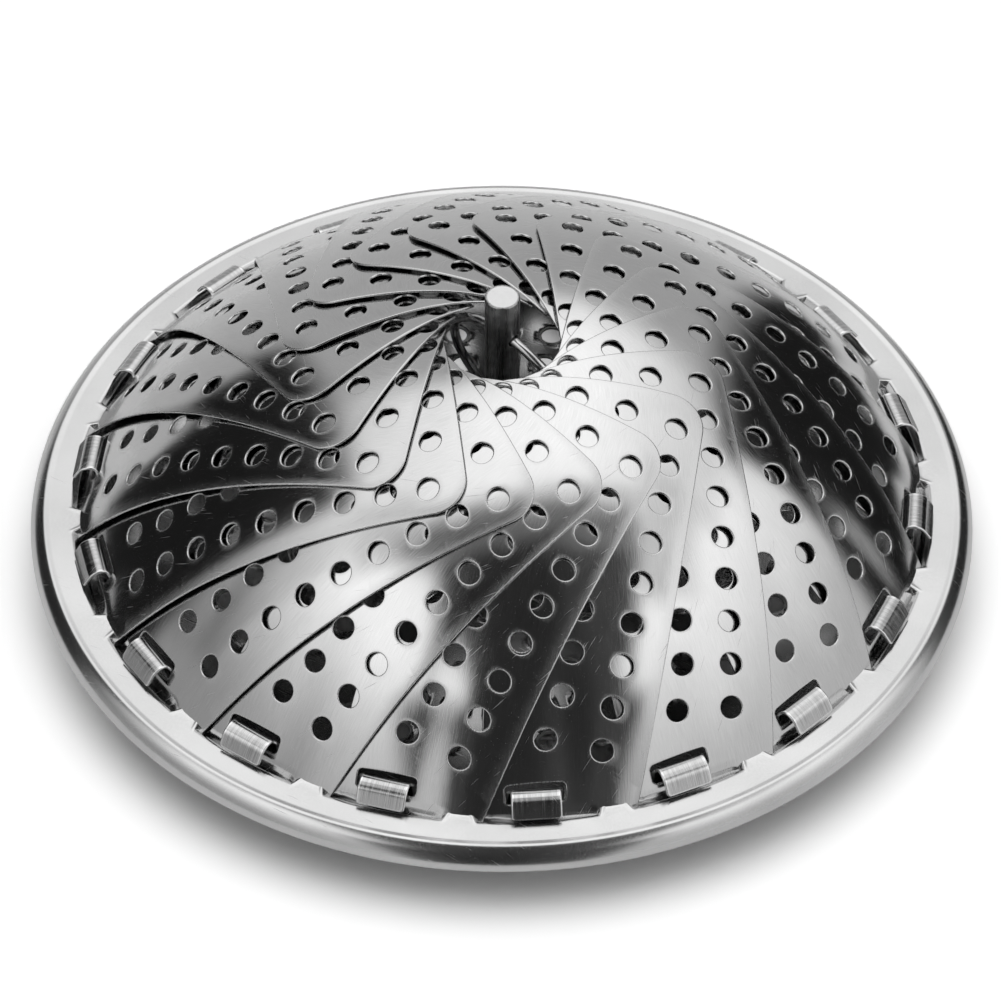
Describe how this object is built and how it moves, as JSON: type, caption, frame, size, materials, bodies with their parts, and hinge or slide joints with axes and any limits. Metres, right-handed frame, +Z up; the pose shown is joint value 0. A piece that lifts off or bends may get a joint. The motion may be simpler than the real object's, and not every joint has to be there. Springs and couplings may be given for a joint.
{
  "type": "folding steamer insert",
  "caption": "Folding steamer insert with domed perforated petals hinged on tabs of a shallow dish, a centre post with a wire lift ring, and folding legs under the dish.",
  "frame": {"origin": "on the surface that the folded insert stands on, under the centre of the post", "axes": "+Z up along the post; the front petal hook lies near -Y; petals are numbered counterclockwise seen from above, starting at the front"},
  "size_m": [0.1498, 0.1498, 0.0565],
  "materials": {
    "petal_steel": "polished stainless sheet with fine straight brushing",
    "dish_steel": "satin stainless sheet, spun round the post axis",
    "post_steel": "turned stainless rod with a sawn top face",
    "wire_steel": "bright drawn stainless wire",
    "leg_steel": "satin stainless strip",
    "fixing_steel": "plain stainless fixings"
  },
  "bodies": {
    "root": {"base_dish": "dish_steel", "lift_post": "post_steel", "post_washer": "fixing_steel", "post_nut": "fixing_steel", "leg_bracket_1": "fixing_steel", "leg_bracket_2": "fixing_steel", "leg_bracket_3": "fixing_steel", "leg_pin_1": "fixing_steel", "leg_pin_2": "fixing_steel", "leg_pin_3": "fixing_steel"},
    "petal_01": {"petal_01": "petal_steel"},
    "petal_02": {"petal_02": "petal_steel"},
    "petal_03": {"petal_03": "petal_steel"},
    "petal_04": {"petal_04": "petal_steel"},
    "petal_05": {"petal_05": "petal_steel"},
    "petal_06": {"petal_06": "petal_steel"},
    "petal_07": {"petal_07": "petal_steel"},
    "petal_08": {"petal_08": "petal_steel"},
    "petal_09": {"petal_09": "petal_steel"},
    "petal_10": {"petal_10": "petal_steel"},
    "petal_11": {"petal_11": "petal_steel"},
    "petal_12": {"petal_12": "petal_steel"},
    "petal_13": {"petal_13": "petal_steel"},
    "petal_14": {"petal_14": "petal_steel"},
    "petal_15": {"petal_15": "petal_steel"},
    "petal_16": {"petal_16": "petal_steel"},
    "petal_17": {"petal_17": "petal_steel"},
    "petal_18": {"petal_18": "petal_steel"},
    "lift_ring": {"lift_ring": "wire_steel"},
    "leg_1": {"leg_1": "leg_steel"},
    "leg_2": {"leg_2": "leg_steel"},
    "leg_3": {"leg_3": "leg_steel"}
  },
  "joints": [
    {"name": "petal_01_fold", "type": "hinge", "parent": "root", "child": "petal_01", "pos_m": [0.00529, -0.06579, 0.0129], "axis": [0.9968, 0.0802, 0], "range_deg": [0, 105]},
    {"name": "petal_02_fold", "type": "hinge", "parent": "root", "child": "petal_02", "pos_m": [0.02747, -0.06001, 0.0129], "axis": [0.9092, 0.4163, 0], "range_deg": [0, 105]},
    {"name": "petal_03_fold", "type": "hinge", "parent": "root", "child": "petal_03", "pos_m": [0.04634, -0.04699, 0.0129], "axis": [0.712, 0.7022, 0], "range_deg": [0, 105]},
    {"name": "petal_04_fold", "type": "hinge", "parent": "root", "child": "petal_04", "pos_m": [0.05962, -0.02831, 0.0129], "axis": [0.4289, 0.9033, 0], "range_deg": [0, 105]},
    {"name": "petal_05_fold", "type": "hinge", "parent": "root", "child": "petal_05", "pos_m": [0.06571, -0.00621, 0.0129], "axis": [0.0941, 0.9956, 0], "range_deg": [0, 105]},
    {"name": "petal_06_fold", "type": "hinge", "parent": "root", "child": "petal_06", "pos_m": [0.06387, 0.01664, 0.0129], "axis": [-0.2521, 0.9677, 0], "range_deg": [0, 105]},
    {"name": "petal_07_fold", "type": "hinge", "parent": "root", "child": "petal_07", "pos_m": [0.05433, 0.03748, 0.0129], "axis": [-0.5678, 0.8231, 0], "range_deg": [0, 105]},
    {"name": "petal_08_fold", "type": "hinge", "parent": "root", "child": "petal_08", "pos_m": [0.03823, 0.0538, 0.0129], "axis": [-0.8151, 0.5793, 0], "range_deg": [0, 105]},
    {"name": "petal_09_fold", "type": "hinge", "parent": "root", "child": "petal_09", "pos_m": [0.01753, 0.06363, 0.0129], "axis": [-0.9641, 0.2656, 0], "range_deg": [0, 105]},
    {"name": "petal_10_fold", "type": "hinge", "parent": "root", "child": "petal_10", "pos_m": [-0.00529, 0.06579, 0.0129], "axis": [-0.9968, -0.0802, 0], "range_deg": [0, 105]},
    {"name": "petal_11_fold", "type": "hinge", "parent": "root", "child": "petal_11", "pos_m": [-0.02747, 0.06001, 0.0129], "axis": [-0.9092, -0.4163, 0], "range_deg": [0, 105]},
    {"name": "petal_12_fold", "type": "hinge", "parent": "root", "child": "petal_12", "pos_m": [-0.04634, 0.04699, 0.0129], "axis": [-0.712, -0.7022, 0], "range_deg": [0, 105]},
    {"name": "petal_13_fold", "type": "hinge", "parent": "root", "child": "petal_13", "pos_m": [-0.05962, 0.02831, 0.0129], "axis": [-0.4289, -0.9033, 0], "range_deg": [0, 105]},
    {"name": "petal_14_fold", "type": "hinge", "parent": "root", "child": "petal_14", "pos_m": [-0.06571, 0.00621, 0.0129], "axis": [-0.0941, -0.9956, 0], "range_deg": [0, 105]},
    {"name": "petal_15_fold", "type": "hinge", "parent": "root", "child": "petal_15", "pos_m": [-0.06387, -0.01664, 0.0129], "axis": [0.2521, -0.9677, 0], "range_deg": [0, 105]},
    {"name": "petal_16_fold", "type": "hinge", "parent": "root", "child": "petal_16", "pos_m": [-0.05433, -0.03748, 0.0129], "axis": [0.5678, -0.8231, 0], "range_deg": [0, 105]},
    {"name": "petal_17_fold", "type": "hinge", "parent": "root", "child": "petal_17", "pos_m": [-0.03823, -0.0538, 0.0129], "axis": [0.8151, -0.5793, 0], "range_deg": [0, 105]},
    {"name": "petal_18_fold", "type": "hinge", "parent": "root", "child": "petal_18", "pos_m": [-0.01753, -0.06363, 0.0129], "axis": [0.9641, -0.2656, 0], "range_deg": [0, 105]},
    {"name": "lift_ring_swing", "type": "hinge", "parent": "root", "child": "lift_ring", "pos_m": [0, 0, 0.04893], "axis": [0.712, -0.7022, 0], "range_deg": [-6, 12]},
    {"name": "leg_1_fold", "type": "hinge", "parent": "root", "child": "leg_1", "pos_m": [0.03375, 0.02328, 0.00165], "axis": [0.5678, -0.8231, 0], "range_deg": [0, 100]},
    {"name": "leg_2_fold", "type": "hinge", "parent": "root", "child": "leg_2", "pos_m": [-0.03704, 0.01759, 0.00165], "axis": [0.4289, 0.9033, 0], "range_deg": [0, 100]},
    {"name": "leg_3_fold", "type": "hinge", "parent": "root", "child": "leg_3", "pos_m": [0.00329, -0.04087, 0.00165], "axis": [-0.9968, -0.0802, 0], "range_deg": [0, 100]}
  ],
  "couplings": [
    {"joint": "petal_02_fold", "follows": "petal_01_fold", "ratio": 1},
    {"joint": "petal_03_fold", "follows": "petal_01_fold", "ratio": 1},
    {"joint": "petal_04_fold", "follows": "petal_01_fold", "ratio": 1},
    {"joint": "petal_05_fold", "follows": "petal_01_fold", "ratio": 1},
    {"joint": "petal_06_fold", "follows": "petal_01_fold", "ratio": 1},
    {"joint": "petal_07_fold", "follows": "petal_01_fold", "ratio": 1},
    {"joint": "petal_08_fold", "follows": "petal_01_fold", "ratio": 1},
    {"joint": "petal_09_fold", "follows": "petal_01_fold", "ratio": 1},
    {"joint": "petal_10_fold", "follows": "petal_01_fold", "ratio": 1},
    {"joint": "petal_11_fold", "follows": "petal_01_fold", "ratio": 1},
    {"joint": "petal_12_fold", "follows": "petal_01_fold", "ratio": 1},
    {"joint": "petal_13_fold", "follows": "petal_01_fold", "ratio": 1},
    {"joint": "petal_14_fold", "follows": "petal_01_fold", "ratio": 1},
    {"joint": "petal_15_fold", "follows": "petal_01_fold", "ratio": 1},
    {"joint": "petal_16_fold", "follows": "petal_01_fold", "ratio": 1},
    {"joint": "petal_17_fold", "follows": "petal_01_fold", "ratio": 1},
    {"joint": "petal_18_fold", "follows": "petal_01_fold", "ratio": 1}
  ]
}
